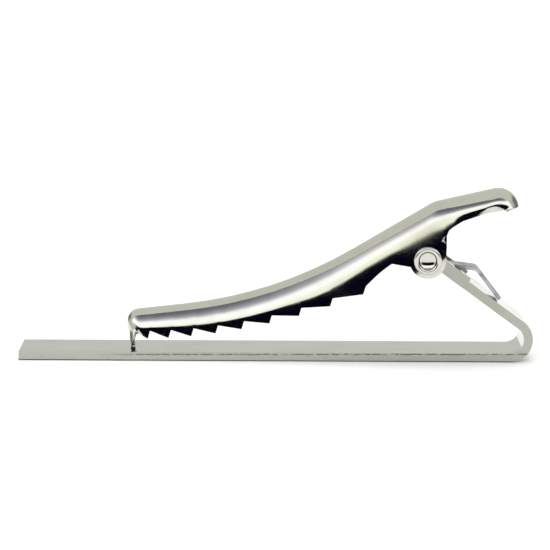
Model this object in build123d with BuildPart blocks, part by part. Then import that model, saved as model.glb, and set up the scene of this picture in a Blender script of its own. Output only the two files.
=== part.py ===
"""Toothed spring clip on a flat bar, stamped from plated steel.

Millimetres, +Z up.  The nose of the jaw points to -X and the bar folds back on itself at +X.
The origin is the middle of the bar's length and width, on the underside that the clip rests on.
"""
import math
import os

from build123d import *

os.makedirs("parts", exist_ok=True)

# ---------------------------------------------------------------- driving dimensions
OVERALL = 55.0  # squared end of the bar to the back of the fold
BAR_WIDTH = 6.0
STRIP = 0.95  # thickness of the bar strip
FOLD_INSIDE = 1.5  # inside radius of the fold
ARM_ANGLE = 35.8  # slope of the folded-back arm above the bar
ARM_LENGTH = 7.6  # from the fold to where the middle of the strip is cut away

EAR_THICKNESS = 0.95
EAR_RADIUS = 1.55
EAR_INSET = 0.45  # from the edge of the arm to the outer face of an ear
EAR_RISE = 0.4  # how far an ear stands above the arm's upper face

PIVOT_X = 16.1
PIVOT_Z = 11.1
PIN_RADIUS = 1.1
PIN_CLEARANCE = 0.04  # radial, between the pin and the jaw's holes
HEAD_RADIUS = 1.48
HEAD_HEIGHT = 0.35
HEAD_GAP = 0.05  # between the jaw's cheek and the rolled head
DISH_RADIUS = 0.95
DISH_DEPTH = 0.55

SHEET = 0.5  # thickness of the jaw sheet
NOSE_WIDTH = 4.8
THUMB_WIDTH = 5.2
LUG_GAP = 0.25  # on each side, between an ear and the cheek outside it
ROOF_RADIUS = 1.3  # outside radius between the roof and the cheeks
NOSE_GAP = 0.05  # between the tongue and the bar when the clip is shut
TONGUE_TOP = 3.05  # where the tongue leaves the lower edge of the cheeks
TONGUE_BACK = -15.1
LUG_RADIUS = 1.94
TOOTH_COUNT = 9
TOOTH_LEAN = 0.27  # how far the steep flank of a tooth leans back
TOOTH_HEIGHT = 0.85

SPRING_WIDTH = 2.2
SPRING_STRIP = 0.4
SPRING_WRAP = 1.5  # from the pin's centre to the middle of the spring strip
SPRING_BEND = 0.8  # radius of the bends in the leg that rests on the arm
WRAP_START = 290  # the leg that rests on the arm leaves the wrap at this angle
WRAP_TURN = 137  # from there round the front of the pin to the leg that pushes the lever
PUSH_LEG = 4.7

# ---------------------------------------------------------------- places worked out from them
FOLD_OUTSIDE = FOLD_INSIDE + STRIP
FOLD_X = OVERALL / 2 - FOLD_OUTSIDE
SLOPE = math.radians(ARM_ANGLE)
PIVOT = (PIVOT_X, PIVOT_Z)
EAR_OUTSIDE = BAR_WIDTH / 2 - EAR_INSET
CHEEK = EAR_OUTSIDE + LUG_GAP + SHEET  # outside face of a cheek at the hinge
HEAD_SEAT = CHEEK + HEAD_GAP
FLOOR = -5.0  # the jaw's walls are drawn down to here before their lower edge is cut


def arm_point(along, radius):
    """A point `along` the arm from the fold, on the line that leaves the fold at `radius`."""
    return (
        FOLD_X + radius * math.sin(SLOPE) - along * math.cos(SLOPE),
        FOLD_OUTSIDE + radius * math.cos(SLOPE) + along * math.sin(SLOPE),
    )


# ---------------------------------------------------------------- base bar: bar, fold, arm, two ears
EAR_ROOT = 0.3  # how far the ears run back into the arm
EAR_BACK = ARM_LENGTH - EAR_ROOT
EAR_FRONT = (FOLD_X - PIVOT_X) * math.cos(SLOPE) + (PIVOT_Z - FOLD_OUTSIDE) * math.sin(SLOPE)
FOLD_TURN = 180 - ARM_ANGLE

with BuildPart() as base_bar:
    with BuildSketch(Plane.XZ):
        with BuildLine():
            under = Line((-OVERALL / 2, 0), (FOLD_X, 0))
            outside = CenterArc((FOLD_X, FOLD_OUTSIDE), FOLD_OUTSIDE, -90, FOLD_TURN)
            inside = CenterArc((FOLD_X, FOLD_OUTSIDE), FOLD_INSIDE, -90, FOLD_TURN)
            arm_corners = [arm_point(ARM_LENGTH, FOLD_OUTSIDE), arm_point(ARM_LENGTH, FOLD_INSIDE)]
            Polyline(outside @ 1, *arm_corners, inside @ 1)
            Polyline(inside @ 0, (-OVERALL / 2, STRIP), under @ 0)
        make_face()
    extrude(amount=BAR_WIDTH / 2, both=True)

    # each ear runs on from one side of the arm and ends in a round lug on the pin
    with BuildSketch(Plane.XZ.offset(EAR_OUTSIDE - EAR_THICKNESS)):
        with BuildLine():
            Polyline(
                arm_point(EAR_BACK, FOLD_INSIDE),
                arm_point(EAR_BACK, FOLD_OUTSIDE + EAR_RISE),
                arm_point(EAR_FRONT, FOLD_OUTSIDE + EAR_RISE),
                arm_point(EAR_FRONT, FOLD_INSIDE),
                close=True,
            )
        make_face()
        with Locations(PIVOT):
            Circle(EAR_RADIUS)
            Circle(PIN_RADIUS, mode=Mode.SUBTRACT)
    near_ear = extrude(amount=EAR_THICKNESS)
    mirror(near_ear, about=Plane.XZ)

base_bar.part.label = "base_bar"
export_step(base_bar.part, "parts/base_bar.step")

# ---------------------------------------------------------------- hinge pin: rivet with rolled, dished ends
PIN_PLANE = Plane(origin=(PIVOT_X, 0, PIVOT_Z), x_dir=(1, 0, 0), z_dir=(0, 0, 1))
CROWN = HEAD_SEAT + HEAD_HEIGHT
DISH_RIM = (DISH_RADIUS, CROWN - 0.09)
DISH_SIDE = (0.7 * DISH_RADIUS, CROWN - 0.8 * DISH_DEPTH)
DISH_FLOOR = (0, CROWN - DISH_DEPTH)

with BuildPart() as hinge_pin:
    with BuildSketch(PIN_PLANE):
        with BuildLine():
            dish = ThreePointArc(DISH_FLOOR, DISH_SIDE, DISH_RIM)
            roll_top = ((DISH_RADIUS + HEAD_RADIUS) / 2, CROWN)
            roll = ThreePointArc(dish @ 1, roll_top, (HEAD_RADIUS, HEAD_SEAT))
            Polyline(roll @ 1, (PIN_RADIUS, HEAD_SEAT), (PIN_RADIUS, 0), (0, 0), dish @ 0)
        make_face()
    revolve(axis=Axis((PIVOT_X, 0, PIVOT_Z), (0, 1, 0)))
    mirror(about=Plane.XZ)

hinge_pin.part.label = "hinge_pin"
export_step(hinge_pin.part, "parts/hinge_pin.step")

# ---------------------------------------------------------------- toothed jaw with its thumb lever
NOSE_FOOT = (-15.65, STRIP)  # the nose leans back a little as it rises from here
NOSE_TOP = (-16.25, 4.9)
ROOF_BEND = (-0.1, 6.76)  # where the flat of the nose would meet the rising back
LEVER_BEND = (16.9, 16.91)
THUMB_TOP = (25.4, 18.93)
THUMB_FOOT = (26.0, 16.65)
ROOF_RADII = [1.3, 45.0, 3.0, 2.2]  # at the nose, the roof bend, the lever bend and the thumb end
PAST_NOSE = 1.0  # how far the plan shape runs on in front of the nose

LUG_FRONT_X = 14.5  # the cheeks run parallel between here and LUG_BACK_X
LUG_BACK_X = 18.2
THUMB_TAPER_END = 24.0
THROAT = (12.3, 10.67)  # the lower edge passes here between the last tooth and the lug
LUG_START = 201.5  # the lug's round edge runs from this angle to its back, at 360 degrees
NOTCH = [(18.1, 12.8), (17.75, 13.3), (18.05, 14.1)]  # cut above the lug, behind the pin
LEVER_EDGE = [(18.84, 14.68), (19.8, 15.26), (22.2, 16.05), (24.7, 16.56)]


def down_to_floor(upper, lower):
    """The point on the line from `upper` through `lower` at the height of FLOOR."""
    share = (FLOOR - upper[1]) / (lower[1] - upper[1])
    return (upper[0] + share * (lower[0] - upper[0]), FLOOR)


def jaw_block(inset):
    """The jaw's solid shape drawn in by `inset` on every side, with its walls down to FLOOR."""
    with BuildPart() as block:
        with BuildSketch(Plane.XZ):
            with BuildLine():
                front = down_to_floor(NOSE_TOP, NOSE_FOOT)
                back = down_to_floor(THUMB_TOP, THUMB_FOOT)
                corners = [front, NOSE_TOP, ROOF_BEND, LEVER_BEND, THUMB_TOP, back]
                FilletPolyline(*corners, radius=ROOF_RADII)
                Line(front, back)
            make_face()
            if inset:
                offset(amount=-inset)
        extrude(amount=BAR_WIDTH, both=True)
        with BuildSketch(Plane.XY.offset(2 * FLOOR)):
            with BuildLine():
                nose = (NOSE_TOP[0] - PAST_NOSE, NOSE_WIDTH / 2 - inset)
                lug_front = (LUG_FRONT_X, CHEEK - inset)
                lug_back = (LUG_BACK_X, CHEEK - inset)
                thumb = (THUMB_TAPER_END, THUMB_WIDTH / 2 - inset)
                taper = (LUG_FRONT_X - nose[0], CHEEK - NOSE_WIDTH / 2)
                Spline(nose, lug_front, tangents=[taper, (1, 0)])
                Line(lug_front, lug_back)
                Spline(lug_back, thumb, tangents=[(1, 0), (1, 0)])
                Polyline(thumb, (OVERALL, thumb[1]), (OVERALL, 0), (nose[0], 0), nose)
            make_face()
            mirror(about=Plane.XZ)
        extrude(amount=OVERALL, mode=Mode.INTERSECT)
        across = block.faces().filter_by(lambda face: abs(face.normal_at().Y) < 0.001)
        roof = across.filter_by(lambda face: face.center().Z > FLOOR)
        rims = [edge for edge in roof.edges() if abs(edge.center().Y) > NOSE_WIDTH / 4]
        fillet(ShapeList(rims), ROOF_RADIUS - inset)
    return block.part


jaw_outside = jaw_block(0)
jaw_hollow = jaw_block(SHEET)


def tooth_tip(number):
    """The tip of a tooth; the pitch grows and the row climbs from the nose to the hinge."""
    along = 2.16 * number + 0.09 * number**2
    return (-13.74 + along, 2.27 + 0.03 * along + 0.0083 * along**2)


with BuildPart() as toothed_jaw:
    add(jaw_outside)
    add(jaw_hollow, mode=Mode.SUBTRACT)

    # the lower edge of both cheeks: teeth, lug round the pin, and the lever's edge
    with BuildSketch(Plane.XZ):
        with BuildLine():
            saw_edge = [(TONGUE_BACK, 2 * FLOOR), (TONGUE_BACK, TONGUE_TOP)]
            for number in range(TOOTH_COUNT):
                tip_x, tip_z = tooth_tip(number)
                saw_edge += [(tip_x, tip_z), (tip_x + TOOTH_LEAN, tip_z + TOOTH_HEIGHT)]
            teeth = Polyline(*saw_edge)
            lug = CenterArc(PIVOT, LUG_RADIUS, LUG_START, 360 - LUG_START)
            Spline(teeth @ 1, THROAT, lug @ 0)
            notch = Polyline(lug @ 1, *NOTCH)
            lever = Spline(notch @ 1, *LEVER_EDGE)
            lever_end = LEVER_EDGE[-1][1]
            Polyline(lever @ 1, (OVERALL, lever_end), (OVERALL, 2 * FLOOR), teeth @ 0)
        make_face()
    extrude(amount=BAR_WIDTH, both=True, mode=Mode.SUBTRACT)

    # the tongue at the nose is rounded and stops just short of the bar
    with BuildSketch(Plane.YZ.offset(-OVERALL)):
        with Locations((0, TONGUE_TOP / 2 + FLOOR)):
            Rectangle(2 * CHEEK, TONGUE_TOP - 2 * FLOOR)
        with Locations((0, TONGUE_TOP)):
            Circle(TONGUE_TOP - STRIP - NOSE_GAP, mode=Mode.SUBTRACT)
    extrude(amount=OVERALL + TONGUE_BACK, mode=Mode.SUBTRACT)

    with BuildSketch(Plane.XZ):
        with Locations(PIVOT):
            Circle(PIN_RADIUS + PIN_CLEARANCE)
    extrude(amount=BAR_WIDTH, both=True, mode=Mode.SUBTRACT)

toothed_jaw.part.label = "toothed_jaw"
export_step(toothed_jaw.part, "parts/toothed_jaw.step")

# ---------------------------------------------------------------- leaf spring bent round the pin
REST_LEG_BENDS = [(18.2, 10.2), (21.5, 9.8)]
REST_LEG_ALONG = 3.2  # the leg's tip rests this far along the arm from the fold
REST_LEG_LIFT = 0.05  # under its tip
REST_LEG_TIP = arm_point(REST_LEG_ALONG, FOLD_OUTSIDE + SPRING_STRIP / 2 + REST_LEG_LIFT)

with BuildPart() as leaf_spring:
    with BuildSketch(Plane.XZ):
        with BuildLine():
            wrap = CenterArc(PIVOT, SPRING_WRAP, WRAP_START, -WRAP_TURN)
            FilletPolyline(wrap @ 0, *REST_LEG_BENDS, REST_LEG_TIP, radius=SPRING_BEND)
            PolarLine(wrap @ 1, PUSH_LEG, direction=wrap % 1)
        trace(line_width=SPRING_STRIP)
    extrude(amount=SPRING_WIDTH / 2, both=True)

leaf_spring.part.label = "leaf_spring"
export_step(leaf_spring.part, "parts/leaf_spring.step")
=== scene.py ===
"""Toothed spring clip on a flat bar: the finished look of its four pressed and plated pieces."""
import logging
import math
from dataclasses import dataclass, field
from enum import Enum

import bmesh
import bpy
from bmesh.types import BMEdge, BMesh, BMFace, BMVert
from bpy.types import ColorRamp, Material, Node, NodeSocket, NodeTree, Object
from mathutils import Matrix, Vector


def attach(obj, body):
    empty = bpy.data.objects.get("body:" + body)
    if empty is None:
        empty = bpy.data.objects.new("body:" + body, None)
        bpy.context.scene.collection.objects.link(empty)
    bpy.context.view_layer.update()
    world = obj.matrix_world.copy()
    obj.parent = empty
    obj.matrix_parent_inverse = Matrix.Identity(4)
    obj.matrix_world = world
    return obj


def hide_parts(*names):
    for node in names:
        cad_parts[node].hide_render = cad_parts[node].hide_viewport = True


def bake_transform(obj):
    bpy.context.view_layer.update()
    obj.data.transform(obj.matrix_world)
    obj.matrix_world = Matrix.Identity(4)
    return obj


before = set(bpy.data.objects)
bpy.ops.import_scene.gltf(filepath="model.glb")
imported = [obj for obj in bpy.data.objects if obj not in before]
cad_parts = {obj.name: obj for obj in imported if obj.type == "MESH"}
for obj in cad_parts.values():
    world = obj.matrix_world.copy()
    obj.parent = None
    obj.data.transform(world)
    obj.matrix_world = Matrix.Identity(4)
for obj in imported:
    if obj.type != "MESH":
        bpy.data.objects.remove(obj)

logging.basicConfig(level=logging.INFO, format="%(name)s: %(message)s")
log = logging.getLogger("spring_clip")

MM = 0.001
ACROSS = Vector((0, 1, 0))
MERGE_DISTANCE = 0.0005 * MM
MIRROR_MERGE_DISTANCE = 0.001 * MM
SHARP_ANGLE = math.radians(40)
FLAT_FACING = 0.9
NOISE_ROUGHNESS = 0.55

Point = tuple[float, float]
Triple = tuple[float, float, float]
Colour = Triple


# ---------- geometry helpers
def at(x: float, z: float, y: float = 0.0) -> Vector:
    """A point of the clip in metres, from millimetres along, up and across."""
    return Vector((x, y, z)) * MM


def row_slope(rows: list[tuple[float, ...]], i: int, column: int) -> float:
    """How steeply one size in a table changes.

    Args:
        rows: The table.
        i: The row to read at.
        column: The size's column.

    Returns:
        The slope between the rows on both sides of that row.
    """
    before = rows[max(i - 1, 0)]
    after = rows[min(i + 1, len(rows) - 1)]
    return (after[column] - before[column]) / (after[0] - before[0])


def smooth_table(rows: list[tuple[float, ...]], x: float) -> list[float]:
    """Reads a table of sizes smoothly between its rows.

    Args:
        rows: Rows in order of their first number, the place, followed by the sizes there.
        x: The place to read at.

    Returns:
        The sizes at that place, on a cubic through the rows.
    """
    if x <= rows[0][0]:
        return list(rows[0][1:])
    if x >= rows[-1][0]:
        return list(rows[-1][1:])
    low = max(i for i, row in enumerate(rows[:-1]) if row[0] <= x)
    span = rows[low + 1][0] - rows[low][0]
    t = (x - rows[low][0]) / span
    sizes = []
    ease = 3 * t**2 - 2 * t**3
    for column in range(1, len(rows[0])):
        a, b = rows[low][column], rows[low + 1][column]
        leave = row_slope(rows, low, column) * span * (t - 2 * t**2 + t**3)
        arrive = row_slope(rows, low + 1, column) * span * (t**3 - t**2)
        sizes.append(a + (b - a) * ease + leave + arrive)
    return sizes


def rounded_path(corners: list[Point], radii: list[float], step: float) -> list[Point]:
    """Rounds the inner corners of a path.

    Args:
        corners: The corners, in millimetres along and up.
        radii: One radius for each corner but the first and the last.
        step: How far apart the points of an arc are, in degrees of turn.

    Returns:
        Points along the path: its two ends and the points of each arc.
    """
    path = [corners[0]]
    for before, corner, after, radius in zip(corners, corners[1:], corners[2:], radii):
        back = (Vector(before) - Vector(corner)).normalized()
        ahead = (Vector(after) - Vector(corner)).normalized()
        turn = math.pi - back.angle(ahead)
        centre = Vector(corner) + (back + ahead).normalized() * radius / math.cos(turn / 2)
        start = Vector(corner) + back * radius * math.tan(turn / 2) - centre
        side = math.copysign(1, -back.x * ahead.y + back.y * ahead.x)
        count = max(2, round(math.degrees(turn) / step))
        for i in range(count + 1):
            swing = Matrix.Rotation(side * turn * i / count, 2)
            path.append(tuple(centre + swing @ start))
    path.append(corners[-1])
    return path


def mirror_across(bm: BMesh) -> None:
    """Mirrors a near half onto the far side and joins the two."""
    everything = bm.verts[:] + bm.edges[:] + bm.faces[:]
    bmesh.ops.mirror(bm, geom=everything, axis="Y", merge_dist=MIRROR_MERGE_DISTANCE)


class Route:
    """A path in the clip's upright plane that is read by distance or by its place along the clip."""

    def __init__(self, points: list[Point]) -> None:
        """Keeps the points and how far along the path each one is.

        Args:
            points: Two or more points in order, in millimetres along and up.
        """
        self.points = [Vector(point) for point in points]
        self.reach = [0.0]
        for a, b in zip(self.points, self.points[1:]):
            self.reach.append(self.reach[-1] + (b - a).length)

    def at_distance(self, distance: float) -> Vector:
        """Finds a point by its distance.

        Args:
            distance: From the start of the path, in millimetres.

        Returns:
            The point there, or the path's end beyond it.
        """
        for i in range(len(self.points) - 1):
            if distance <= self.reach[i + 1]:
                share = (distance - self.reach[i]) / (self.reach[i + 1] - self.reach[i])
                return self.points[i].lerp(self.points[i + 1], max(share, 0.0))
        return self.points[-1]

    def distance_at(self, x: float) -> float:
        """Finds a distance by its place along the clip.

        Args:
            x: The place, in millimetres.

        Returns:
            How far along the path it first passes that place, or the path's length.
        """
        for i, (a, b) in enumerate(zip(self.points, self.points[1:])):
            if a.x <= x <= b.x and b.x > a.x:
                return self.reach[i] + (x - a.x) / (b.x - a.x) * (b - a).length
        return self.reach[-1]


class Face(Enum):
    """The two kinds of surface on a stamped part, by their material index."""

    PLATED = 0
    SHEARED = 1


class Boolean(Enum):
    """What is done with a tool body, by Blender's name for it."""

    JOIN = "UNION"
    TAKE_AWAY = "DIFFERENCE"


@dataclass
class Piece:
    """One piece of the clip: a mesh object with its finishing modifiers."""

    name: str
    edge: float = 0.05
    edge_segments: int = 2

    def finish_mesh(self, bm: BMesh) -> Object:
        """Writes the mesh, closes its seams and shades it smooth.

        Args:
            bm: The shape in metres. It is freed.

        Returns:
            The new object, linked to the scene.
        """
        bmesh.ops.remove_doubles(bm, verts=bm.verts, dist=MERGE_DISTANCE)
        inner = [face for face in bm.faces if all(len(edge.link_faces) > 2 for edge in face.edges)]
        bmesh.ops.delete(bm, geom=inner, context="FACES_ONLY")
        bmesh.ops.recalc_face_normals(bm, faces=bm.faces)
        mesh = bpy.data.meshes.new(self.name)
        bm.to_mesh(mesh)
        bm.free()
        mesh.shade_smooth()
        piece = bpy.data.objects.new(self.name, mesh)
        bpy.context.collection.objects.link(piece)
        return piece

    def ease_edges(self, piece: Object) -> None:
        """Rounds the sharp edges a little, as tumbling before the plating does.

        Args:
            piece: The piece, which gets a bevel that stays live.
        """
        bevel = piece.modifiers.new("eased_edges", "BEVEL")
        bevel.width = self.edge * MM
        bevel.segments = self.edge_segments
        bevel.limit_method = "ANGLE"
        bevel.angle_limit = SHARP_ANGLE
        bevel.use_clamp_overlap = True
        bevel.material = -1
        bevel.harden_normals = True

    def settle(self, piece: Object) -> None:
        """Applies the modifiers that a piece has so far.

        Args:
            piece: The piece.
        """
        graph = bpy.context.evaluated_depsgraph_get()
        settled = bpy.data.meshes.new_from_object(piece.evaluated_get(graph))
        piece.modifiers.clear()
        piece.data = settled

    def cut(self, piece: Object, tool: Object, how: Boolean) -> None:
        """Joins a tool body to the piece or takes it away, and deletes the tool.

        Args:
            piece: The piece that is changed.
            tool: A closed body.
            how: What is done with the tool.
        """
        boolean = piece.modifiers.new("cut", "BOOLEAN")
        boolean.operation = how.value
        boolean.solver = "EXACT"
        boolean.object = tool
        self.settle(piece)
        bpy.data.objects.remove(tool)


class BentStrip:
    """A flat strip that is fed forward and bent, as in a press."""

    def __init__(self, corner: Vector, facing: Vector, thickness: float, width: float) -> None:
        """Starts the strip with its cut end.

        Args:
            corner: The middle of the lower edge of the cut end, in metres.
            facing: The direction from there across the thickness.
            thickness: Of the strip, in millimetres.
            width: Of the strip, in millimetres.
        """
        self.bm = bmesh.new()
        bmesh.ops.create_grid(self.bm, x_segments=1, y_segments=1, size=0.5)
        up = facing.normalized()
        turn = Matrix((up, ACROSS, up.cross(ACROSS))).transposed().to_4x4()
        size = Matrix.Diagonal((thickness * MM, width * MM, 1, 1))
        place = Matrix.Translation(corner + up * thickness * MM / 2)
        bmesh.ops.transform(self.bm, matrix=place @ turn @ size, verts=self.bm.verts)
        self.end = list(self.bm.faces)

    def run(self, way: Vector, short: float = 0.25) -> None:
        """Runs the strip straight on, with a short length at each end so that the flat shades flat.

        Args:
            way: How far and in which direction, in metres.
            short: The length at each end, in millimetres.
        """
        end = way.normalized() * short * MM
        self.feed(end)
        self.feed(way - 2 * end)
        self.feed(end)

    def feed(self, way: Vector, width: float = 1.0) -> None:
        """Grows the strip by one length.

        Args:
            way: How far and in which direction, in metres.
            width: The strip's width after it, as a factor.
        """
        grown = bmesh.ops.extrude_face_region(self.bm, geom=self.end)["geom"]
        self.end = [item for item in grown if isinstance(item, BMFace)]
        moved = [item for item in grown if isinstance(item, BMVert)]
        bmesh.ops.translate(self.bm, vec=way, verts=moved)
        bmesh.ops.scale(self.bm, vec=(1, width, 1), verts=moved)

    def bend(self, centre: Vector, degrees: float, steps: int) -> None:
        """Bends the strip round an axis across it.

        Args:
            centre: A point on the axis, in metres.
            degrees: The angle, upwards and back where it is positive.
            steps: How many flats make the bend.
        """
        spun = bmesh.ops.spin(
            self.bm, geom=self.end, cent=centre, axis=-ACROSS, dvec=(0, 0, 0),
            angle=math.radians(degrees), steps=steps, use_merge=False,
        )["geom_last"]
        self.end = [item for item in spun if isinstance(item, BMFace)]


# ---------- shader helpers
class Number:
    """A number in a shader: a socket, or an expression made of Math nodes."""

    def __init__(self, tree: NodeTree, socket: NodeSocket) -> None:
        """Keeps the socket and the tree that it is in."""
        self.tree = tree
        self.socket = socket

    def math(self, operation: str, *values: "Number | float") -> "Number":
        """Adds a Math node.

        Args:
            operation: The node's operation.
            values: Its inputs in order.

        Returns:
            Its result.
        """
        node = self.tree.nodes.new("ShaderNodeMath")
        node.operation = operation
        for slot, value in zip(node.inputs, values):
            if isinstance(value, Number):
                self.tree.links.new(value.socket, slot)
            else:
                slot.default_value = value
        return Number(self.tree, node.outputs[0])

    def __add__(self, other: "Number | float") -> "Number":
        """self + other"""
        return self.math("ADD", self, other)

    def __radd__(self, other: float) -> "Number":
        """other + self"""
        return self.math("ADD", other, self)

    def __sub__(self, other: "Number | float") -> "Number":
        """self - other"""
        return self.math("SUBTRACT", self, other)

    def __rsub__(self, other: float) -> "Number":
        """other - self"""
        return self.math("SUBTRACT", other, self)

    def __mul__(self, other: "Number | float") -> "Number":
        """self * other"""
        return self.math("MULTIPLY", self, other)

    def __rmul__(self, other: float) -> "Number":
        """other * self"""
        return self.math("MULTIPLY", other, self)

    def __abs__(self) -> "Number":
        """The size of the number without its sign."""
        return self.math("ABSOLUTE", self)

    def rising(self, low: float, high: float) -> "Number":
        """Turns the number into a soft step.

        Args:
            low: Where the step starts.
            high: Where it ends.

        Returns:
            0 below low, 1 above high and a smooth rise between them.
        """
        node = self.tree.nodes.new("ShaderNodeMapRange")
        node.interpolation_type = "SMOOTHSTEP"
        node.inputs["From Min"].default_value = low
        node.inputs["From Max"].default_value = high
        self.tree.links.new(self.socket, node.inputs["Value"])
        return Number(self.tree, node.outputs["Result"])


class NodeBench:
    """A node tree that is built one node at a time."""

    def __init__(self, tree: NodeTree) -> None:
        """Takes an empty tree."""
        self.tree = tree
        tree.nodes.clear()

    def node(self, kind: str, settings: dict | None = None, sockets: dict | None = None) -> Node:
        """Adds a node.

        Args:
            kind: The node's type.
            settings: Its properties, and for a ramp its stops as (place, colour).
            sockets: Values or links for its inputs, by name or by number.

        Returns:
            The node.
        """
        node = self.tree.nodes.new(kind)
        for name, value in (settings or {}).items():
            if name == "stops":
                self.set_stops(node.color_ramp, value)
            else:
                setattr(node, name, value)
        for name, value in (sockets or {}).items():
            if isinstance(value, Number):
                value = value.socket
            if isinstance(value, NodeSocket):
                self.tree.links.new(value, node.inputs[name])
            else:
                node.inputs[name].default_value = value
        return node

    @staticmethod
    def set_stops(ramp: ColorRamp, stops: tuple[tuple[float, Colour], ...]) -> None:
        """Gives a colour ramp its stops.

        Args:
            ramp: The ramp of a new node, which has two stops.
            stops: Two or more stops in order, as (place, colour).
        """
        while len(ramp.elements) < len(stops):
            ramp.elements.new(1.0)
        for element, (place, colour) in zip(ramp.elements, stops):
            element.position = place
            element.color = (*colour, 1.0)

    def number(self, node: Node, output: str | int = 0) -> Number:
        """One output of a node as a number."""
        return Number(self.tree, node.outputs[output])

    def mix(
        self, share: Number, low: Colour | NodeSocket, high: Colour | NodeSocket,
    ) -> NodeSocket:
        """Adds a Mix node for two colours.

        Args:
            share: How much of the second colour there is, from 0 to 1.
            low: The first colour, or a socket that gives it.
            high: The second colour, or a socket that gives it.

        Returns:
            The socket of the mixed colour.
        """
        sockets = {"Factor": share}
        for slot, colour in ((6, low), (7, high)):
            sockets[slot] = colour if isinstance(colour, NodeSocket) else (*colour, 1)
        return self.node("ShaderNodeMix", {"data_type": "RGBA"}, sockets).outputs[2]

    def stretched(self, where: NodeSocket, scale: Triple) -> NodeSocket:
        """A place whose axes are scaled, so that a pattern read there is drawn out."""
        return self.node("ShaderNodeMapping", None, {"Vector": where, "Scale": scale}).outputs[0]

    def bump(self, strength: float, depth: float, height: Number) -> NodeSocket:
        """The normal over a relief, whose `depth` in millimetres is that of a height of 1."""
        sockets = {"Strength": strength, "Distance": depth * MM, "Height": height}
        return self.node("ShaderNodeBump", None, sockets).outputs[0]

    def surface(self, sockets: dict) -> None:
        """Ends the tree in a surface, with values or links for its inputs."""
        shader = self.node("ShaderNodeBsdfPrincipled", None, sockets)
        self.node("ShaderNodeOutputMaterial", None, {"Surface": shader.outputs[0]})

    def metal(self, colour: NodeSocket, roughness: Number, normal: NodeSocket) -> None:
        """Ends the tree in a metal surface."""
        self.surface({"Base Color": colour, "Metallic": 1.0, "Roughness": roughness, "Normal": normal})

    def noise(self, where: NodeSocket, size: float, detail: float = 2.0) -> Number:
        """A noise pattern with features of about `size` millimetres."""
        sockets = {"Vector": where, "Scale": 1 / (size * MM), "Detail": detail, "Roughness": NOISE_ROUGHNESS}
        return self.number(self.node("ShaderNodeTexNoise", None, sockets), "Fac")


def new_material(name: str) -> tuple[Material, NodeBench, NodeSocket]:
    """Starts a material.

    Args:
        name: Its name.

    Returns:
        The material, the bench for its nodes and the socket of the place on the piece.
    """
    material = bpy.data.materials.new(name)
    material.use_nodes = True
    bench = NodeBench(material.node_tree)
    return material, bench, bench.node("ShaderNodeTexCoord").outputs["Object"]


@dataclass(frozen=True)
class Plating:
    """Bright nickel on a smooth pressed face: slight orange peel, haze and hairline wear."""

    name: str = "bright_nickel"
    colour: Colour = (0.655, 0.645, 0.615)
    dull_colour: Colour = (0.60, 0.59, 0.55)
    roughness: float = 0.055
    haze: float = 0.05
    haze_size: float = 4.0
    haze_reach: tuple[float, float] = (0.42, 0.72)
    peel: float = 0.10
    peel_size: float = 1.6
    fine_size: float = 0.5
    hairline_size: float = 0.09
    hairline_stretch: Triple = (0.06, 1.0, 1.0)
    hairline_reach: tuple[float, float] = (0.66, 0.74)
    relief_strength: float = 0.35
    relief_depth: float = 0.05

    def make(self) -> Material:
        """Builds the material.

        Returns:
            The material.
        """
        material, bench, place = new_material(self.name)
        haze = bench.noise(place, self.haze_size).rising(*self.haze_reach)
        fine = bench.noise(place, self.fine_size)
        peel = bench.noise(place, self.peel_size, 1.0)
        drawn_out = bench.stretched(place, self.hairline_stretch)
        hairlines = bench.noise(drawn_out, self.hairline_size, 1.0).rising(*self.hairline_reach)
        colour = bench.mix(haze * 0.7 + hairlines * 0.25, self.colour, self.dull_colour)
        roughness = self.roughness + haze * self.haze + hairlines * 0.05 + fine * 0.02
        relief = peel * self.peel + fine * (0.04 * self.peel) - hairlines * (0.02 * self.peel)
        bench.metal(colour, roughness, bench.bump(self.relief_strength, self.relief_depth, relief))
        return material


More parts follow.
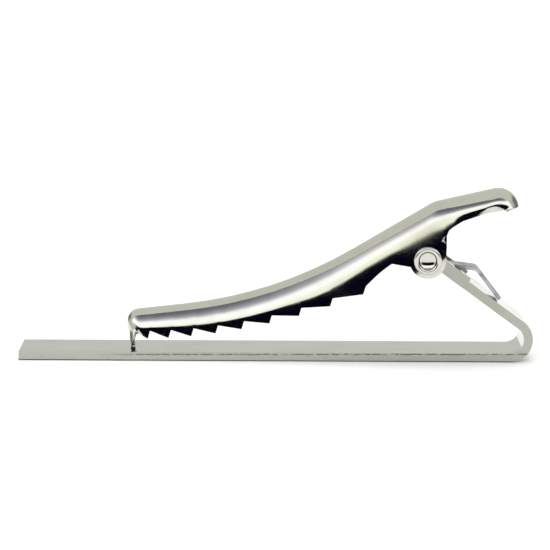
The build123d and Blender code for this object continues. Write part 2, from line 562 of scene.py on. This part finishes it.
@dataclass(frozen=True)
class ShearedEdge:
    """Dull plate over a sheared edge, with a broken torn line and a painted contact shadow along its lower
    corner.
    """

    name: str = "sheared_edge"
    colour: Colour = (0.50, 0.49, 0.45)
    torn_colour: Colour = (0.20, 0.20, 0.19)
    # painted contact shadow: the blue-black colour of the band at the foot of the edge, where the bar meets
    # the table
    painted_contact_shadow: Colour = (0.04, 0.035, 0.06)
    roughness: float = 0.30
    grain: float = 0.30
    grain_depth: float = 0.03
    mottle_size: float = 0.8
    draw_line_size: float = 0.14
    draw_line_stretch: Triple = (1.0, 1.0, 0.15)
    torn_height: float = 0.76
    torn_climb: float = 0.005
    torn_half: float = 0.10
    torn_wander: float = 0.20
    torn_gap_size: float = 0.45
    torn_fade: tuple[float, float] = (-22.0, -12.0)
    speck_size: float = 0.35
    contact_shadow_height: float = 0.115

    def torn_line(self, x: Number, z: Number, mottle: Number, gaps: Number) -> Number:
        """Draws the line where the strip tore while it was cut, high on the edge and climbing a little.

        Args:
            x: The place along the clip, in millimetres.
            z: The height, in millimetres.
            mottle: The pattern that makes the line wander.
            gaps: The pattern that breaks it.

        Returns:
            1 on the line and 0 off it.
        """
        middle = self.torn_height + self.torn_wander / 2
        off_line = abs(z + mottle * self.torn_wander - middle - x * self.torn_climb)
        line = 1 - off_line.rising(0.4 * self.torn_half, self.torn_half)
        return line * gaps.rising(0.34, 0.54) * x.rising(*self.torn_fade)

    def make(self) -> Material:
        """Builds the material.

        Returns:
            The material.
        """
        material, bench, place = new_material(self.name)
        axes = bench.node("ShaderNodeSeparateXYZ", None, {0: place})
        x, z = (bench.number(axes, i) * (1 / MM) for i in (0, 2))
        mottle = bench.noise(place, self.mottle_size, 4.0)
        gaps = bench.noise(place, self.torn_gap_size, 3.0)
        specks = bench.noise(place, self.speck_size, 5.0).rising(0.54, 0.68) * mottle.rising(0.45, 0.62)
        worn = self.torn_line(x, z, mottle, gaps) * 0.95 + specks * 0.18
        # painted contact shadow: the lowest tenth of a millimetre or so of the edge is darkened to
        # blue-black, as shade where the bar meets the table
        contact_shadow_share = 1 - z.rising(0.6 * self.contact_shadow_height, 1.2 * self.contact_shadow_height)
        aged = bench.mix(worn, self.colour, self.torn_colour)
        colour = bench.mix(contact_shadow_share * 0.95, aged, self.painted_contact_shadow)
        draw_lines = bench.noise(bench.stretched(place, self.draw_line_stretch), self.draw_line_size)
        roughness = self.roughness + mottle * 0.12 + worn * 0.15
        relief = draw_lines * 0.5 + mottle * 0.6 - worn * 0.9
        bench.metal(colour, roughness, bench.bump(self.grain, self.grain_depth, relief))
        return material


@dataclass(frozen=True)
class SpringFinish:
    """Thin plate over blued spring strip, drawn lengthways through the rolls."""

    name: str = "blued_spring_strip"
    colour: Colour = (0.50, 0.50, 0.51)
    blued: Colour = (0.14, 0.12, 0.20)
    roughness: float = 0.16
    draw_line_size: float = 0.12
    draw_line_stretch: Triple = (0.15, 1.0, 0.15)
    relief_strength: float = 0.3
    relief_depth: float = 0.02
    temper_size: float = 1.5

    def make(self) -> Material:
        """Builds the material.

        Returns:
            The material.
        """
        material, bench, place = new_material(self.name)
        draw_lines = bench.noise(bench.stretched(place, self.draw_line_stretch), self.draw_line_size, 3.0)
        tempered = bench.noise(place, self.temper_size).rising(0.4, 0.65)
        colour = bench.mix(tempered * 0.6 + 0.15, self.colour, self.blued)
        normal = bench.bump(self.relief_strength, self.relief_depth, draw_lines)
        bench.metal(colour, self.roughness + draw_lines * 0.1, normal)
        return material


def dress(piece: Object, plated: Material, sheared: Material) -> None:
    """Gives a piece its two finishes: plated for its pressed faces, sheared for its cut edges."""
    piece.data.materials.append(plated)
    piece.data.materials.append(sheared)


# ---------- the base: bar, fold, arm and ears
@dataclass
class Hinge:
    """Where the pin is, and the pin's own sizes, in millimetres."""

    x: float = 16.1
    z: float = 11.1
    radius: float = 1.1
    clearance: float = 0.04

    @property
    def centre(self) -> Vector:
        """The middle of the pin."""
        return at(self.x, self.z)

    def around(self, radius: float, angle: float) -> Point:
        """A point round the pin, by its radius in millimetres and its angle up from the clip's length."""
        return (self.x + radius * math.cos(angle), self.z + radius * math.sin(angle))

    def drill(self, radius: float, length: float) -> Object:
        """A round bar on the hinge line, for cutting a hole.

        Args:
            radius: Of the bar, in millimetres.
            length: Of the bar, in millimetres.

        Returns:
            A closed body.
        """
        bm = bmesh.new()
        turn = Matrix.Translation(self.centre) @ Matrix.Rotation(math.pi / 2, 4, "X")
        bmesh.ops.create_cone(
            bm, cap_ends=True, segments=64, radius1=radius * MM, radius2=radius * MM,
            depth=length * MM, matrix=turn,
        )
        return Piece("drill").finish_mesh(bm)


@dataclass
class BaseBar(Piece):
    """The bar with its fold, the arm that rises from it and the two ears."""

    name: str = "base_bar_finished"
    edge: float = 0.07
    length: float = 55.0
    width: float = 6.0
    strip: float = 0.95
    fold_inside: float = 1.5
    arm_slope: float = 35.8
    arm_length: float = 7.6
    ear_radius: float = 1.55
    ear_inset: float = 0.45
    taper: float = 5.2
    ear_rise: float = 0.4
    ear_root: float = 0.3
    ear_steps: int = 44
    fold_steps: int = 48
    sharp_from: float = 8.5

    def __post_init__(self) -> None:
        """Works out the fold's place and the arm's direction."""
        self.fold_outside = self.fold_inside + self.strip
        self.fold_x = self.length / 2 - self.fold_outside
        slope = math.radians(self.arm_slope)
        self.along = Vector((-math.cos(slope), 0, math.sin(slope)))
        self.out = Vector((math.sin(slope), 0, math.cos(slope)))

    def on_arm(self, along: float, radius: float) -> Vector:
        """A point `along` the arm, on the line that leaves the fold at `radius`, in millimetres."""
        return at(self.fold_x, self.fold_outside) + (self.along * along + self.out * radius) * MM

    def ear(self, hinge: Hinge, side: int) -> Object:
        """One ear: a strip that runs on from the arm and ends in a round lug.

        Args:
            hinge: The pin that the lug is round.
            side: -1 for the near side, 1 for the far side.

        Returns:
            A closed body.
        """
        bm = bmesh.new()
        to_pin = hinge.centre - at(self.fold_x, self.fold_outside)
        reach, rise = to_pin.dot(self.along) / MM, to_pin.dot(self.out) / MM
        top, low = self.fold_outside + self.ear_rise, self.fold_inside
        back_top = math.sqrt(self.ear_radius**2 - (top - rise) ** 2)
        back_low = math.sqrt(self.ear_radius**2 - (rise - low) ** 2)
        root = self.arm_length - self.ear_root
        upper = math.asin((top - rise) / self.ear_radius)
        sweep = math.tau - upper - math.asin((rise - low) / self.ear_radius)
        start = bm.verts.new(self.on_arm(reach - back_top, top))
        bmesh.ops.spin(
            bm, geom=[start], cent=hinge.centre, axis=ACROSS, dvec=(0, 0, 0),
            angle=-sweep, steps=self.ear_steps, use_merge=False,
        )
        end = min(bm.verts, key=lambda vert: (vert.co - self.on_arm(reach - back_low, low)).length)
        low_root = bm.verts.new(self.on_arm(root, low))
        top_root = bm.verts.new(self.on_arm(root, top))
        bm.edges.new((end, low_root))
        bm.edges.new((low_root, top_root))
        bm.edges.new((top_root, start))
        plate = bmesh.ops.contextual_create(bm, geom=bm.edges[:])["faces"]
        grown = bmesh.ops.extrude_face_region(bm, geom=plate)["geom"]
        moved = [item for item in grown if isinstance(item, BMVert)]
        bmesh.ops.translate(bm, vec=ACROSS * self.strip * MM, verts=moved)
        outside = self.width / 2 - self.ear_inset
        shift = outside - self.strip if side > 0 else -outside
        bmesh.ops.translate(bm, vec=ACROSS * shift * MM, verts=bm.verts)
        return Piece("ear").finish_mesh(bm)

    def build(self, hinge: Hinge, plated: Material, sheared: Material) -> Object:
        """Bends the strip, adds the ears and dresses the piece.

        Args:
            hinge: The pin that the ears hold.
            plated: The finish of its pressed faces.
            sheared: The finish of its sheared edges.

        Returns:
            The finished piece, riding on the base.
        """
        strip = BentStrip(at(-self.length / 2, 0), Vector((0, 0, 1)), self.strip, self.width)
        strip.run(at(self.length / 2 + self.fold_x, 0))
        strip.bend(at(self.fold_x, self.fold_outside), 180 - self.arm_slope, self.fold_steps)
        strip.run(self.along * (self.arm_length - self.taper) * MM)
        strip.feed(self.along * self.taper * MM, 1 - 2 * self.ear_inset / self.width)
        piece = self.finish_mesh(strip.bm)
        for side in (-1, 1):
            self.cut(piece, self.ear(hinge, side), Boolean.JOIN)
        dress(piece, plated, sheared)
        for face in piece.data.polygons:
            across = abs(face.normal.y) > FLAT_FACING
            squared = face.normal.x < -FLAT_FACING and face.center.x < at(1 - self.length / 2, 0).x
            face.material_index = (Face.SHEARED if across or squared else Face.PLATED).value
        piece.data.set_sharp_from_angle(angle=math.radians(self.sharp_from))
        self.ease_edges(piece)
        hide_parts("base_bar")
        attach(piece, "base")
        return piece


# ---------- the jaw with its teeth and thumb lever
@dataclass
class Jaw(Piece):
    """The pressed jaw: an arched roof whose cheeks end in teeth, a lug and the lever's edge."""

    name: str = "toothed_jaw_finished"
    edge: float = 0.07
    sheet: float = 0.5
    nose_foot: Point = (-15.65, 1.0)
    nose_top: Point = (-16.25, 4.9)
    roof_bend: Point = (-0.1, 6.76)
    lever_bend: Point = (16.9, 16.91)
    thumb_top: Point = (25.4, 18.85)
    thumb_foot: Point = (25.95, 16.6)
    roof_radii: tuple[float, ...] = (1.3, 45.0, 3.0, 2.2)
    roof_step: float = 3.0
    tongue_back: float = -15.1
    tongue_top: float = 3.05
    tongue_narrowing: float = 0.13
    tongue_share: float = 0.3
    tongue_drop: float = 0.55
    nose_lean: float = 0.4
    nose_end: float = -11.0
    least_step: float = 0.03
    tooth_count: int = 9
    first_tip: Point = (-13.74, 2.27)
    tooth_pitch: float = 2.16
    pitch_growth: float = 0.09
    row_climb: tuple[float, float] = (0.03, 0.0083)
    tooth_lean: float = 0.27
    tooth_height: float = 0.85
    throat: Point = (12.3, 10.67)
    throat_bow: float = 0.15
    lug_radius: float = 1.94
    lug_start: float = 201.5
    notch: tuple[Point, ...] = ((18.1, 12.8), (17.75, 13.3), (18.05, 14.1))
    lever_edge: tuple[Point, ...] = ((18.84, 14.68), (19.8, 15.26), (22.2, 16.05), (24.6, 16.5))
    lug_steps: int = 22
    seam_slope: float = 44.0
    shoulder_slope: float = 75.0
    crown_steps: int = 8
    shoulder_steps: int = 7
    cheek_steps: int = 9
    least_cheek: float = 0.35
    least_hem: float = 0.25
    full_hem_depth: float = 2.4
    hem_row: int = 4
    nose_steps: int = 16
    thumb_steps: int = 16
    # place, shoulder radius, half width below the shoulder, half width at the edge, length of the flare
    sections: list[tuple[float, ...]] = field(default_factory=lambda: [
        (-16.3, 2.4, 2.10, 2.34, 2.4),
        (-9.0, 3.2, 2.36, 2.62, 2.4),
        (-2.0, 3.6, 2.46, 2.78, 2.6),
        (5.0, 3.5, 2.48, 2.95, 2.8),
        (10.5, 2.9, 2.52, 3.20, 4.4),
        (14.5, 2.5, 2.60, 3.48, 5.6),
        (18.0, 2.0, 2.60, 3.48, 5.6),
        (20.4, 1.1, 2.50, 2.64, 0.8),
        (26.0, 1.0, 2.46, 2.56, 0.7),
    ])

    def tooth_tip(self, number: int) -> Point:
        """The tip of a tooth.

        Args:
            number: From 0 at the nose.

        Returns:
            Its place. The pitch grows and the row climbs towards the hinge.
        """
        along = self.tooth_pitch * number + self.pitch_growth * number**2
        climb = self.row_climb[0] * along + self.row_climb[1] * along**2
        return (self.first_tip[0] + along, self.first_tip[1] + climb)

    def lower_edge(self, hinge: Hinge) -> list[Point]:
        """The edge of a cheek from the first tooth to the lever.

        Args:
            hinge: The pin that the lug is round.

        Returns:
            Its points in order, in millimetres along and up.
        """
        edge: list[Point] = []
        for number in range(self.tooth_count):
            tip = self.tooth_tip(number)
            gum = (tip[0] + self.tooth_lean, tip[1] + self.tooth_height)
            after = self.tooth_tip(number + 1)
            edge += [tip, gum]
            if number < self.tooth_count - 1:
                for share in (0.25, 0.5, 0.75):
                    edge.append(tuple(Vector(gum).lerp(Vector(after), share)))
        last_gum, throat = Vector(edge[-1]), Vector(self.throat)
        for share in (0.2, 0.4, 0.6, 0.8, 1.0):
            bow = Vector((0, self.throat_bow * math.sin(math.pi * share)))
            edge.append(tuple(last_gum.lerp(throat, share) + bow))
        lug = []
        for i in range(self.lug_steps + 1):
            angle = self.lug_start + (360 - self.lug_start) * i / self.lug_steps
            lug.append(hinge.around(self.lug_radius, math.radians(angle)))
        for share in (0.33, 0.66):
            edge.append(tuple(throat.lerp(Vector(lug[0]), share)))
        return edge + lug + list(self.notch) + list(self.lever_edge[:-1])

    def section(self, x: float, depth: float, narrow: float) -> list[Point]:
        """One half of the jaw's cross-section.

        Args:
            x: Where along the jaw, in millimetres.
            depth: From the roof to the lower edge.
            narrow: A factor on the half width.

        Returns:
            Points from the middle of the roof to the lower edge, as half width and depth.
        """
        shoulder, waist, hem, flare = smooth_table(self.sections, x)
        seam, steep = math.radians(self.seam_slope), math.radians(self.shoulder_slope)
        crown = (waist - shoulder * (math.sin(steep) - math.sin(seam))) / math.sin(seam)
        points = []
        for i in range(self.crown_steps + 1):
            slope = seam * i / self.crown_steps
            points.append((crown * math.sin(slope), crown * (1 - math.cos(slope))))
        side, drop = points[-1]
        for i in range(1, self.shoulder_steps + 1):
            slope = seam + (steep - seam) * i / self.shoulder_steps
            points.append((
                side + shoulder * (math.sin(slope) - math.sin(seam)),
                drop + shoulder * (math.cos(seam) - math.cos(slope)),
            ))
        side, drop = points[-1]
        least = drop + self.least_cheek
        squash = min(1.0, depth / least)
        full = max(depth, least)
        for i in range(1, self.cheek_steps + 1):
            down = (full - drop) * i / self.cheek_steps
            share = min(down / flare, 1.0)
            points.append((side + (hem - side) * share * (2 - share), drop + down))
        return [(width * narrow, fall * squash) for width, fall in points]

    def stations(self, hinge: Hinge) -> list[tuple[Vector, Vector, float]]:
        """Pairs each point of the lower edge with one on the roof, from the tongue to the thumb end.

        Args:
            hinge: The pin that the lug is round.

        Returns:
            The point on the roof, the point below it and the factor on the width, for each section.
        """
        corners = [self.nose_foot, self.nose_top, self.roof_bend, self.lever_bend]
        corners += [self.thumb_top, self.thumb_foot]
        roof = Route(rounded_path(corners, list(self.roof_radii), self.roof_step))
        edge = self.lower_edge(hinge)
        first = roof.distance_at(edge[0][0] + self.nose_lean)
        pairs = []
        # the tongue and the nose: the sections fan out from the foot of the tongue to the first tooth
        tongue, corner = Vector((self.tongue_back, self.tongue_top)), Vector(edge[0])
        for i in range(self.nose_steps - 1):
            share = i / self.nose_steps
            narrow = 1.0 - self.tongue_narrowing * max(0.0, 1 - i / 7) ** 2
            below = tongue.lerp(corner, max(0.0, (share - self.tongue_share) / (1 - self.tongue_share)))
            below.y -= self.tongue_drop * max(0.0, 1 - share / self.tongue_share)
            pairs.append((roof.at_distance(first * share), below, narrow))
        previous = first * share
        for point in edge:
            lean = self.nose_lean * max(0.0, (self.nose_end - point[0]) / 3)
            distance = max(roof.distance_at(point[0] + lean), previous + self.least_step)
            pairs.append((roof.at_distance(distance), Vector(point), 1.0))
            previous = distance
        # the thumb end: the sections fan out to the end wall's lower edge
        left = roof.reach[-1] - previous
        for i in range(1, self.thumb_steps + 1):
            share = i / self.thumb_steps
            below = Vector(edge[-1]).lerp(Vector(self.lever_edge[-1]), share)
            pairs.append((roof.at_distance(previous + left * share), below, 1.0))
        return pairs

    def skin(self, hinge: Hinge) -> Object:
        """Makes the jaw's outer surface: one section bridged to the next, then mirrored.

        The first vertex group says how thick the sheet is. It thins to its hem where a section is
        shallow, so that the two walls of a tight corner don't cross.

        Args:
            hinge: The pin that the lug is round.

        Returns:
            An open surface.
        """
        bm = bmesh.new()
        sheet = bm.verts.layers.deform.verify()
        before: list[BMEdge] = []
        for roof, low, narrow in self.stations(hinge):
            down = low - roof
            depth = down.length
            down.normalize()
            chain = []
            hem = min(1.0, max(self.least_hem, depth / self.full_hem_depth - 0.1))
            for row, (width, fall) in enumerate(self.section(roof.x, depth, narrow)):
                place = roof + down * fall
                chain.append(bm.verts.new(at(place.x, place.y, -width)))
                thinning = min(1.0, max(0.0, (row - self.hem_row) / 5))
                chain[-1][sheet][0] = 1 + (hem - 1) * thinning
            edges = [bm.edges.new(pair) for pair in zip(chain, chain[1:])]
            if before:
                bmesh.ops.bridge_loops(bm, edges=before + edges)
            before = edges
        mirror_across(bm)
        return self.finish_mesh(bm)

    def build(self, hinge: Hinge, plated: Material, sheared: Material) -> Object:
        """Presses the jaw and dresses it.

        Args:
            hinge: The pin that the jaw turns on.
            plated: The finish of its pressed faces.
            sheared: The finish of its sheared edges.

        Returns:
            The finished piece, riding on the jaw.
        """
        piece = self.skin(hinge)
        roof = max(piece.data.polygons, key=lambda face: face.center.z)
        if roof.normal.z < 0:
            piece.data.flip_normals()
        dress(piece, plated, sheared)
        wall = piece.modifiers.new("sheet", "SOLIDIFY")
        wall.thickness = self.sheet * MM
        wall.offset = -1.0
        wall.use_even_offset = False
        wall.vertex_group = piece.vertex_groups.new(name="sheet").name
        wall.material_offset_rim = Face.SHEARED.value
        self.settle(piece)
        hole = hinge.drill(hinge.radius + hinge.clearance, 3 * BaseBar.width)
        self.cut(piece, hole, Boolean.TAKE_AWAY)
        self.ease_edges(piece)
        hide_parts("toothed_jaw")
        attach(piece, "jaw")
        return piece


# ---------- the rivet that is the hinge pin
@dataclass
class Rivet(Piece):
    """The hinge pin: a rivet whose two ends are rolled over and dished."""

    name: str = "hinge_pin_finished"
    seat: float = 3.34
    head_radius: float = 1.48
    head_height: float = 0.35
    dish_radius: float = 0.95
    dish_depth: float = 0.55
    roll: float = 0.2
    undercut: float = 0.02
    dish_steps: int = 6
    roll_steps: int = 10
    round_steps: int = 72

    def profile(self, hinge: Hinge) -> list[Point]:
        """Draws half of the rivet's outline.

        Args:
            hinge: The pin's radius.

        Returns:
            Its points from the middle of the dish, as radius and distance from the rivet's middle.
        """
        crown = self.seat + self.head_height
        outline = []
        for i in range(self.dish_steps + 1):
            turn = math.pi / 2 * i / self.dish_steps
            outline.append((
                self.dish_radius * math.sin(turn),
                crown - self.dish_depth + (self.dish_depth - self.roll) * (1 - math.cos(turn)),
            ))
        half = (self.head_radius - self.dish_radius) / 2
        for i in range(1, self.roll_steps + 1):
            turn = math.pi * i / self.roll_steps
            outline.append((
                self.dish_radius + half * (1 - math.cos(turn)),
                crown - self.roll * (1 - math.sin(turn)),
            ))
        outline.append((self.head_radius - self.undercut, self.seat))
        outline += [(hinge.radius, self.seat), (hinge.radius, 0.0)]
        return outline

    def build(self, hinge: Hinge, plated: Material) -> Object:
        """Turns the rivet and dresses it.

        Args:
            hinge: Where the pin is.
            plated: Its finish.

        Returns:
            The finished piece, riding on the base.
        """
        bm = bmesh.new()
        chain = [bm.verts.new(hinge.centre + Vector((r, -y, 0)) * MM) for r, y in self.profile(hinge)]
        edges = [bm.edges.new(pair) for pair in zip(chain, chain[1:])]
        bmesh.ops.spin(
            bm, geom=chain + edges, cent=hinge.centre, axis=ACROSS, dvec=(0, 0, 0),
            angle=math.tau, steps=self.round_steps, use_merge=True,
        )
        bmesh.ops.remove_doubles(bm, verts=bm.verts, dist=MIRROR_MERGE_DISTANCE)
        mirror_across(bm)
        piece = self.finish_mesh(bm)
        piece.data.set_sharp_from_angle(angle=SHARP_ANGLE)
        piece.data.materials.append(plated)
        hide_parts("hinge_pin")
        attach(piece, "base")
        return piece


# ---------- the leaf spring
@dataclass
class LeafSpring(Piece):
    """The spring strip: a leg along the arm, a wrap round the pin and a leg under the lever."""

    name: str = "leaf_spring_finished"
    edge: float = 0.06
    strip: float = 0.4
    width: float = 2.2
    wrap: float = 1.5
    wrap_start: float = 290.0
    wrap_turn: float = 137.0
    push_leg: float = 4.794
    bends: tuple[Point, ...] = ((18.2, 10.2), (21.5, 9.8))
    bend_radius: float = 0.8
    rest_along: float = 3.2
    lift: float = 0.05
    bend_step: float = 10.0
    wrap_steps: int = 26
    leg_steps: int = 3

    def path(self, bar: BaseBar, hinge: Hinge) -> list[Point]:
        """Draws the middle of the strip.

        Args:
            bar: The base that the resting leg lies on.
            hinge: The pin that the strip is wrapped round.

        Returns:
            Its points from the resting tip to the pushing tip, in millimetres along and up.
        """
        tip = bar.on_arm(self.rest_along, bar.fold_outside + self.strip / 2 + self.lift) / MM
        start = math.radians(self.wrap_start)
        corners = [(tip.x, tip.z), self.bends[1], self.bends[0], hinge.around(self.wrap, start)]
        path = rounded_path(corners, [self.bend_radius] * 2, self.bend_step)
        for i in range(1, self.wrap_steps + 1):
            angle = start - math.radians(self.wrap_turn) * i / self.wrap_steps
            path.append(hinge.around(self.wrap, angle))
        step = Vector((math.sin(angle), -math.cos(angle))) * self.push_leg / self.leg_steps
        for _ in range(self.leg_steps):
            path.append(tuple(Vector(path[-1]) + step))
        return path

    def build(self, bar: BaseBar, hinge: Hinge, plated: Material) -> Object:
        """Bends the strip and dresses it.

        Args:
            bar: The base that the resting leg lies on.
            hinge: The pin that it is wrapped round.
            plated: Its finish.

        Returns:
            The finished piece.
        """
        path = [at(*point) for point in self.path(bar, hinge)]
        bm = bmesh.new()
        half = ACROSS * self.width / 2 * MM
        before: list[BMEdge] = []
        for i, middle in enumerate(path):
            way = (path[min(i + 1, len(path) - 1)] - path[max(i - 1, 0)]).normalized()
            out = way.cross(ACROSS) * self.strip / 2 * MM
            corners = (out + half, out - half, -out - half, half - out)
            ring = [bm.verts.new(middle + corner) for corner in corners]
            edges = [bm.edges.new(pair) for pair in zip(ring, ring[1:] + ring[:1])]
            if before:
                bmesh.ops.bridge_loops(bm, edges=before + edges)
            if i in (0, len(path) - 1):
                bmesh.ops.contextual_create(bm, geom=edges)
            before = edges
        piece = self.finish_mesh(bm)
        self.ease_edges(piece)
        piece.data.materials.append(plated)
        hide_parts("leaf_spring")
        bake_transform(piece)
        return piece


# ---------- the studio
@dataclass
class Studio:
    """A pale table under a light tent, with the camera in front of the clip; lamp and table in metres."""

    elevation: float = 10.974
    roll: float = 0.284
    distance: float = 256.0
    aim_x: float = -0.104
    aim_z: float = 9.414
    front_face: float = -3.0
    lens: float = 157.6
    sensor: float = 36.0
    clip: tuple[float, float] = (0.01, 10.0)
    table_size: float = 6.0
    table_colour: Colour = (0.94, 0.94, 0.935)
    lamp_place: Triple = (0.05, 0.12, 1.0)
    lamp_size: float = 0.9
    lamp_power: float = 6.0
    backdrop: Colour = (0.9, 0.9, 0.9)
    side_wall: Colour = (0.72, 0.72, 0.69)
    flag: Colour = (0.22, 0.22, 0.23)
    seam_colour: Colour = (0.08, 0.08, 0.09)
    # height in the tent from level to straight up, and the light that comes from there
    front_wall: tuple[tuple[float, Colour], ...] = (
        (0.0, (0.001, 0.001, 0.008)),
        (0.33, (0.001, 0.001, 0.008)),
        (0.36, (1.30, 1.36, 1.10)),
        (0.46, (1.45, 1.45, 1.35)),
        (0.52, (1.55, 1.55, 1.55)),
        (0.70, (1.50, 1.50, 1.52)),
        (0.82, (0.62, 0.63, 0.68)),
        (0.93, (0.26, 0.27, 0.32)),
        (1.0, (0.17, 0.17, 0.20)),
    )
    back_wall: tuple[tuple[float, Colour], ...] = (
        (0.0, (0.66, 0.68, 0.65)),
        (0.22, (0.68, 0.70, 0.66)),
        (0.45, (0.74, 0.75, 0.67)),
        (1.0, (0.78, 0.79, 0.70)),
    )

    def camera(self) -> None:
        """Sets up the camera."""
        tilt = math.radians(self.elevation)
        place = at(
            self.aim_x,
            self.aim_z + self.distance * math.sin(tilt),
            self.front_face - self.distance * math.cos(tilt),
        )
        data = bpy.data.cameras.new("camera")
        data.lens = self.lens
        data.sensor_width = self.sensor
        data.clip_start, data.clip_end = self.clip
        camera = bpy.data.objects.new("camera", data)
        turn = Matrix.Rotation(math.pi / 2 - tilt, 4, "X")
        turn = turn @ Matrix.Rotation(math.radians(self.roll), 4, "Z")
        camera.matrix_world = Matrix.Translation(place) @ turn
        bpy.context.collection.objects.link(camera)
        bpy.context.scene.camera = camera

    def table(self) -> None:
        """Lays the pale table under the clip."""
        bm = bmesh.new()
        bmesh.ops.create_grid(bm, x_segments=1, y_segments=1, size=self.table_size / 2)
        table = Piece("table").finish_mesh(bm)
        material = bpy.data.materials.new("pale_table")
        material.use_nodes = True
        looks = {"Base Color": (*self.table_colour, 1), "Roughness": 0.6, "Specular IOR Level": 0.2}
        NodeBench(material.node_tree).surface(looks)
        table.data.materials.append(material)

    def tent(self) -> None:
        """Surrounds the clip with a light tent: pale behind, a softbox and a dark room in front.

        The camera sees an even backdrop in its place.
        """
        world = bpy.data.worlds.new("light_tent")
        bpy.context.scene.world = world
        world.use_nodes = True
        bench = NodeBench(world.node_tree)
        way = bench.node("ShaderNodeTexCoord").outputs["Generated"]
        parts = bench.node("ShaderNodeSeparateXYZ", None, {0: way})
        x, y, z = (bench.number(parts, i) for i in range(3))
        front = bench.node("ShaderNodeValToRGB", {"stops": self.front_wall}, {0: z}).outputs[0]
        back = bench.node("ShaderNodeValToRGB", {"stops": self.back_wall}, {0: z}).outputs[0]
        # pale walls beside the dark room, dark flags beside the back wall and a dark seam overhead
        sides = abs(x).rising(0.62, 0.80) * (1 - z.rising(0.3, 0.45))
        flags = abs(x).rising(0.50, 0.58) * (1 - abs(x).rising(0.80, 0.90)) * (1 - z.rising(0.35, 0.55))
        seam = (1 - abs(y - 0.005).rising(0.006, 0.03)) * (1 - x.rising(-0.2, 0.3)) * z.rising(0.2, 0.5)
        front = bench.mix(sides, front, self.side_wall)
        back = bench.mix(flags, back, self.flag)
        tent = bench.mix(seam * 0.8, bench.mix(y.rising(0.0, 0.05), front, back), self.seam_colour)
        seen = bench.number(bench.node("ShaderNodeLightPath"), "Is Camera Ray")
        shown = bench.mix(seen, tent, self.backdrop)
        background = bench.node("ShaderNodeBackground", None, {"Color": shown, "Strength": 1.0})
        bench.node("ShaderNodeOutputWorld", None, {"Surface": background.outputs[0]})

    def overhead(self) -> None:
        """Hangs a large soft light over the table."""
        data = bpy.data.lights.new("overhead", "AREA")
        data.shape = "DISK"
        data.size = self.lamp_size
        data.energy = self.lamp_power
        lamp = bpy.data.objects.new("overhead", data)
        lamp.location = self.lamp_place
        lamp.visible_glossy = False
        bpy.context.collection.objects.link(lamp)

    def build(self) -> None:
        """Sets up the camera, the table and the light."""
        self.camera()
        self.table()
        self.tent()
        self.overhead()
        bpy.context.scene.view_settings.view_transform = "Standard"


def main() -> None:
    """Builds the clip in order."""
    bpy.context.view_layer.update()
    Studio().build()
    hinge = Hinge()
    bar = BaseBar()
    plated = Plating().make()
    sheared = ShearedEdge().make()
    spring_finish = SpringFinish().make()
    pieces = [
        bar.build(hinge, plated, sheared),
        Jaw().build(hinge, plated, sheared),
        Rivet().build(hinge, plated),
        LeafSpring().build(bar, hinge, spring_finish),
    ]
    for piece in pieces:
        log.info("%s has %d faces", piece.name, len(piece.data.polygons))


if __name__ == "__main__":
    main()
